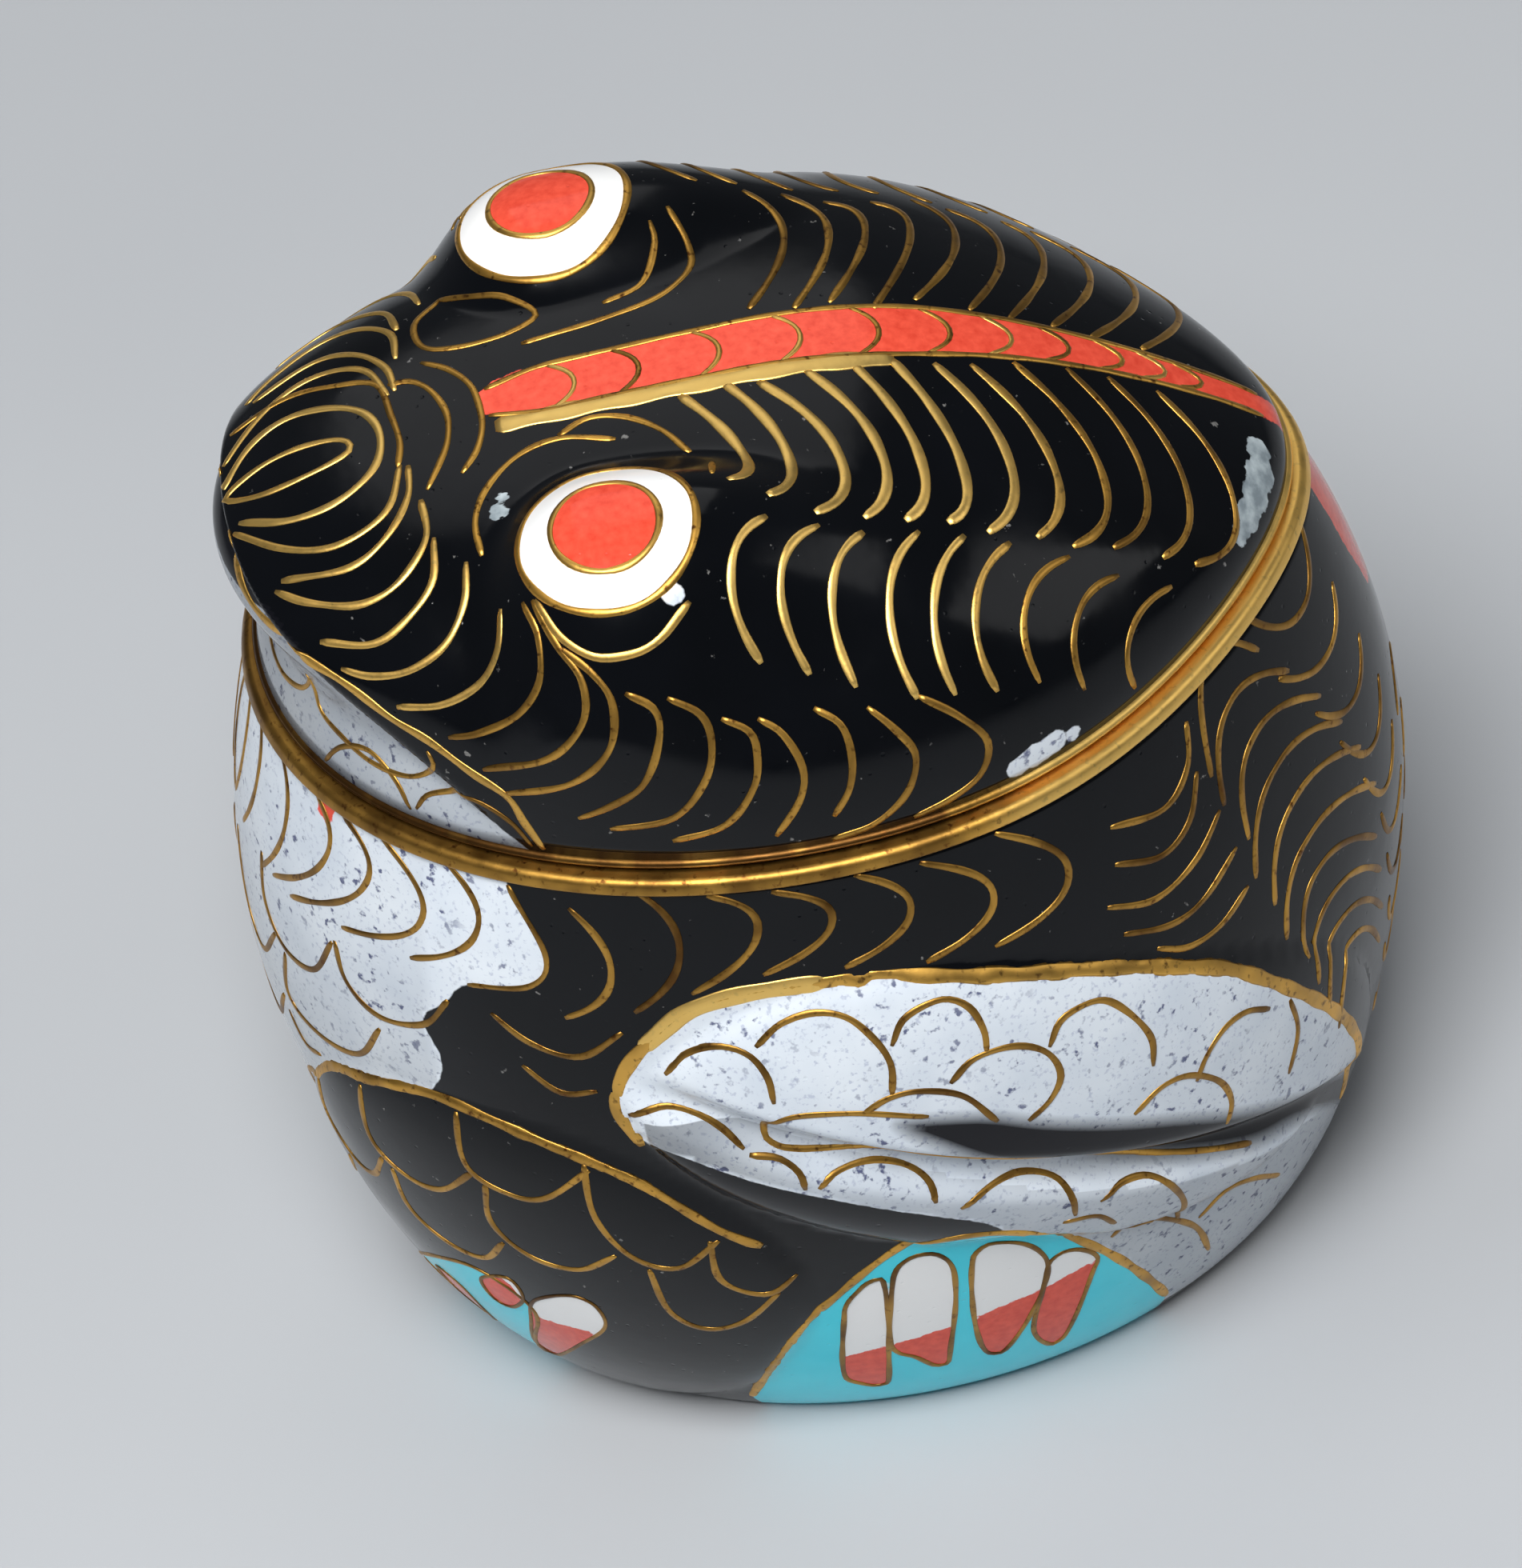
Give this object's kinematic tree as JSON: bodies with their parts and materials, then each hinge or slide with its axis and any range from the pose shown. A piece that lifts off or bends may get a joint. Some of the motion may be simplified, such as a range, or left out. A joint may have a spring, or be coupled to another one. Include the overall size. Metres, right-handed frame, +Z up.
{
  "type": "cloisonne enamel frog box",
  "caption": "Small lidded box in the shape of a crouching frog, cloisonne enamel on copper with gilt wires and rims; the head and back lift off as the lid.",
  "frame": {"origin": "centre of the flat underside, on the surface it stands on", "axes": "+Z up, -Y the way the frog faces, +X the frog's left side"},
  "size_m": [0.0518, 0.0603, 0.0601],
  "materials": {
    "bowl_enamel": "glossy black, white, coral red and turquoise enamel with gilt wires",
    "lid_enamel": "glossy black, white and coral red enamel with gilt wires",
    "gilt": "worn gilding on brass, satin with bright edges"
  },
  "bodies": {
    "root": {"bowl": "bowl_enamel", "bowl_rim": "gilt", "lid": "lid_enamel", "lid_rim": "gilt"}
  },
  "joints": []
}
